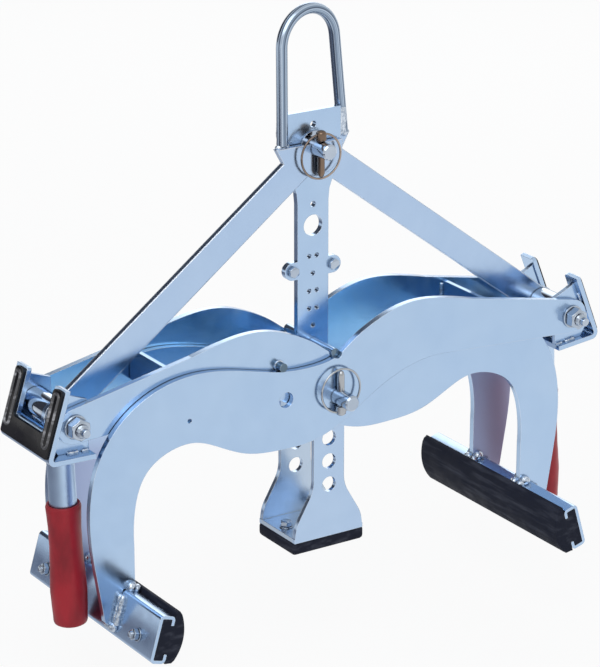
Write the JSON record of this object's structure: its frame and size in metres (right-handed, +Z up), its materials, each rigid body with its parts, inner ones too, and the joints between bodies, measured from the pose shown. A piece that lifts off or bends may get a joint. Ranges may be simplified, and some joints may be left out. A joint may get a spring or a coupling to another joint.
{
  "type": "lifting tongs",
  "caption": "Crossed-arm lifting tongs of zinc-plated plate: rubber-faced jaws drawn closed by links from a lifting eye, with swinging end handles and a pressing foot.",
  "frame": {"origin": "on the pivot's upright axis, at the floor that the open jaws stand on", "axes": "+X along the span from left jaw to right jaw, -Y to the front where the lynch pins are, +Z up to the lifting eye"},
  "size_m": [0.8134, 0.3, 0.733],
  "materials": {
    "zinc_plate": "satin bluish zinc plating",
    "bright_zinc": "bright zinc plating",
    "yellow_zinc": "yellow passivated zinc",
    "black_rubber": "matt black rubber",
    "red_grip": "soft red plastic"
  },
  "bodies": {
    "pivot": {"pivot_pin": "bright_zinc", "pivot_washers": "bright_zinc", "pivot_spacer": "bright_zinc", "pivot_lynch_pin": "yellow_zinc"},
    "arm_a": {"arm_a_axle_bolt": "bright_zinc", "arm_a_axle_nut": "bright_zinc", "arm_a_axle_sleeves": "bright_zinc", "arm_a_inner_plate": "zinc_plate", "arm_a_jaw_bolts": "bright_zinc", "arm_a_jaw_rail": "zinc_plate", "arm_a_jaw_rubber": "black_rubber", "arm_a_outer_plate": "zinc_plate", "arm_a_stop_pin": "bright_zinc", "arm_a_tie_plate": "zinc_plate"},
    "arm_b": {"arm_b_axle_bolt": "bright_zinc", "arm_b_axle_nut": "bright_zinc", "arm_b_axle_sleeves": "bright_zinc", "arm_b_inner_plate": "zinc_plate", "arm_b_jaw_bolts": "bright_zinc", "arm_b_jaw_rail": "zinc_plate", "arm_b_jaw_rubber": "black_rubber", "arm_b_outer_plate": "zinc_plate", "arm_b_stop_pin": "bright_zinc", "arm_b_tie_plate": "zinc_plate"},
    "eye": {"lifting_bar": "zinc_plate", "lifting_eye": "zinc_plate", "bar_ear_bolts": "bright_zinc", "bar_rest_pin": "bright_zinc", "link_washers": "bright_zinc", "top_pin": "bright_zinc", "top_lynch_pin": "yellow_zinc"},
    "left_link": {"left_link": "zinc_plate"},
    "right_link": {"right_link": "zinc_plate"},
    "foot": {"foot_bracket": "zinc_plate", "foot_pad": "black_rubber", "foot_bolts": "bright_zinc"},
    "left_handle": {"left_handle_facing": "black_rubber", "left_handle_grip": "red_grip", "left_handle_sides": "zinc_plate", "left_handle_tube": "zinc_plate", "left_handle_yoke": "zinc_plate"},
    "right_handle": {"right_handle_facing": "black_rubber", "right_handle_grip": "red_grip", "right_handle_sides": "zinc_plate", "right_handle_tube": "zinc_plate", "right_handle_yoke": "zinc_plate"},
    "pivot_ring": {"pivot_lynch_ring": "yellow_zinc"},
    "top_ring": {"top_lynch_ring": "yellow_zinc"}
  },
  "joints": [
    {"name": "arm_a_hinge", "type": "hinge", "parent": "pivot", "child": "arm_a", "pos_m": [0, 0, 0.25], "axis": [0, -1, 0], "range_deg": [0, 18]},
    {"name": "arm_b_hinge", "type": "hinge", "parent": "pivot", "child": "arm_b", "pos_m": [0, 0, 0.25], "axis": [0, 1, 0], "range_deg": [0, 18]},
    {"name": "eye_lift", "type": "slide", "parent": "pivot", "child": "eye", "axis": [0, 0, 1], "range_m": [0, 0.1425]},
    {"name": "left_link_hinge", "type": "hinge", "parent": "eye", "child": "left_link", "pos_m": [0, 0, 0.556], "axis": [0, -1, 0], "range_deg": [0, 5.1]},
    {"name": "right_link_hinge", "type": "hinge", "parent": "eye", "child": "right_link", "pos_m": [0, 0, 0.556], "axis": [0, 1, 0], "range_deg": [0, 5.1]},
    {"name": "foot_hinge", "type": "hinge", "parent": "pivot", "child": "foot", "pos_m": [0, 0, 0.25], "axis": [0, 1, 0], "range_deg": [-30, 30]},
    {"name": "left_handle_hinge", "type": "hinge", "parent": "arm_b", "child": "left_handle", "pos_m": [-0.362, 0, 0.284], "axis": [0, 1, 0], "range_deg": [0, 40]},
    {"name": "right_handle_hinge", "type": "hinge", "parent": "arm_a", "child": "right_handle", "pos_m": [0.362, 0, 0.284], "axis": [0, -1, 0], "range_deg": [0, 36]},
    {"name": "pivot_ring_hinge", "type": "hinge", "parent": "pivot", "child": "pivot_ring", "pos_m": [0, -0.067, 0.231], "axis": [1, 0, 0], "range_deg": [0, 110]},
    {"name": "top_ring_hinge", "type": "hinge", "parent": "eye", "child": "top_ring", "pos_m": [0, -0.0215, 0.575], "axis": [-1, 0, 0], "range_deg": [0, 110]}
  ],
  "couplings": [
    {"joint": "arm_b_hinge", "follows": "arm_a_hinge", "ratio": 1},
    {"joint": "eye_lift", "follows": "arm_a_hinge", "m_per_rad": 0.45239},
    {"joint": "left_link_hinge", "follows": "arm_a_hinge", "ratio": 0.28196},
    {"joint": "right_link_hinge", "follows": "arm_a_hinge", "ratio": 0.28196}
  ]
}
